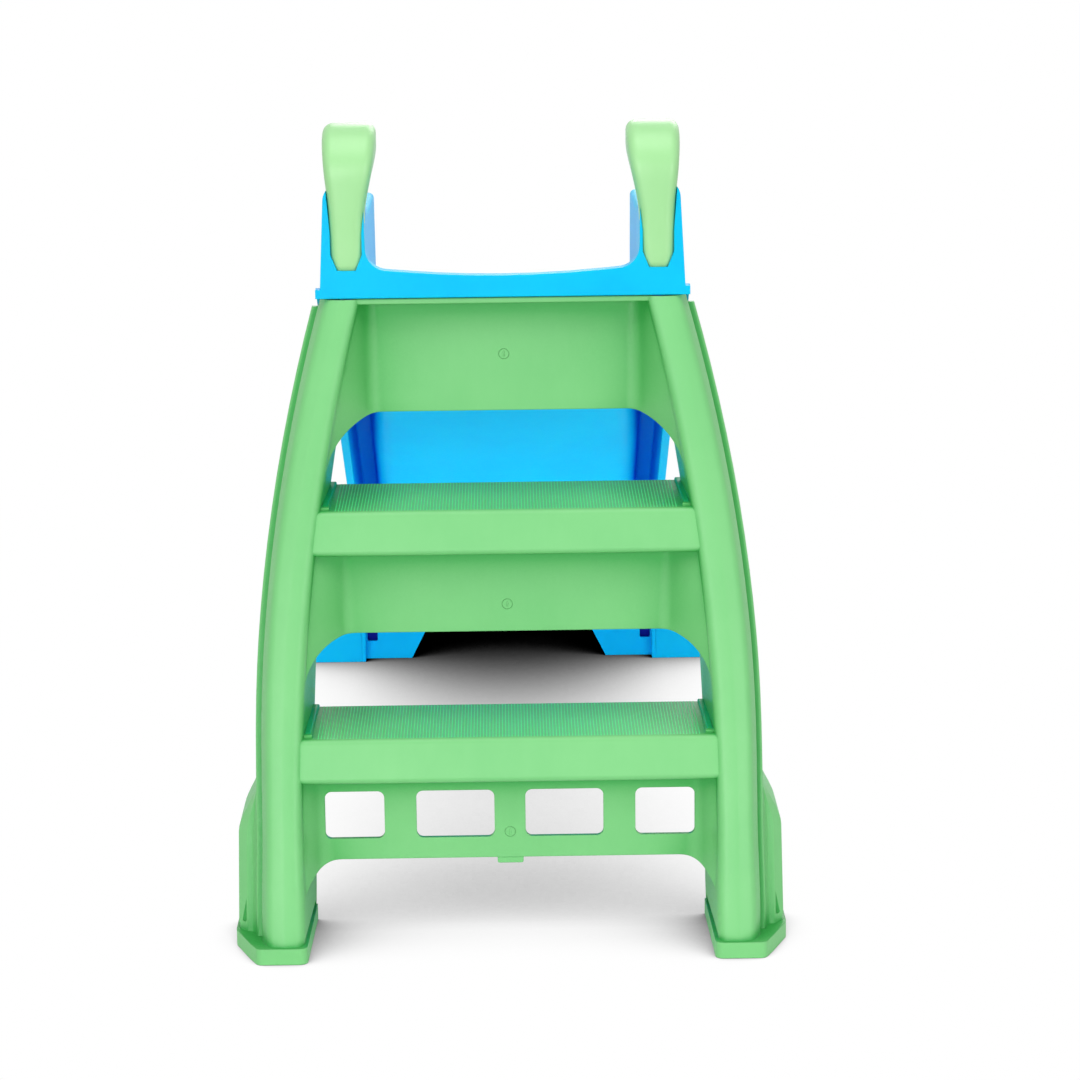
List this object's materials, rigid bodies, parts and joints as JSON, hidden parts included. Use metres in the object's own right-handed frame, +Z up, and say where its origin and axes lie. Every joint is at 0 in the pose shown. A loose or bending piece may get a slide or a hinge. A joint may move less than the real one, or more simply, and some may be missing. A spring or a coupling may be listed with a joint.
{
  "type": "folding toddler slide",
  "caption": "Low plastic slide with a dished chute, flared feet, a stepped ladder that folds underneath, and arched handrails.",
  "frame": {"origin": "middle of the whole slide at floor level, under the centre of its bounding box", "axes": "+X to the right as seen from the ladder side, +Y from the ladder towards the low end of the chute, +Z up"},
  "size_m": [0.457, 0.99, 0.584],
  "materials": {
    "chute_plastic": "satin-gloss moulded sky-blue plastic",
    "ladder_plastic": "satin moulded mid-green plastic",
    "handrail_plastic": "satin moulded light-green plastic",
    "pin_plastic": "moulded green plastic",
    "chute_pin_plastic": "moulded blue plastic"
  },
  "bodies": {
    "chute": {"slide": "chute_plastic", "left_handrail": "handrail_plastic", "right_handrail": "handrail_plastic", "left_handrail_pin": "chute_pin_plastic", "right_handrail_pin": "chute_pin_plastic"},
    "ladder": {"ladder": "ladder_plastic", "left_ladder_pin": "pin_plastic", "right_ladder_pin": "pin_plastic", "left_ladder_pin_ring": "pin_plastic", "right_ladder_pin_ring": "pin_plastic"}
  },
  "joints": [
    {"name": "ladder_fold", "type": "hinge", "parent": "chute", "child": "ladder", "pos_m": [0, -0.3084, 0.42], "axis": [1, 0, 0], "range_deg": [0, 62]}
  ]
}
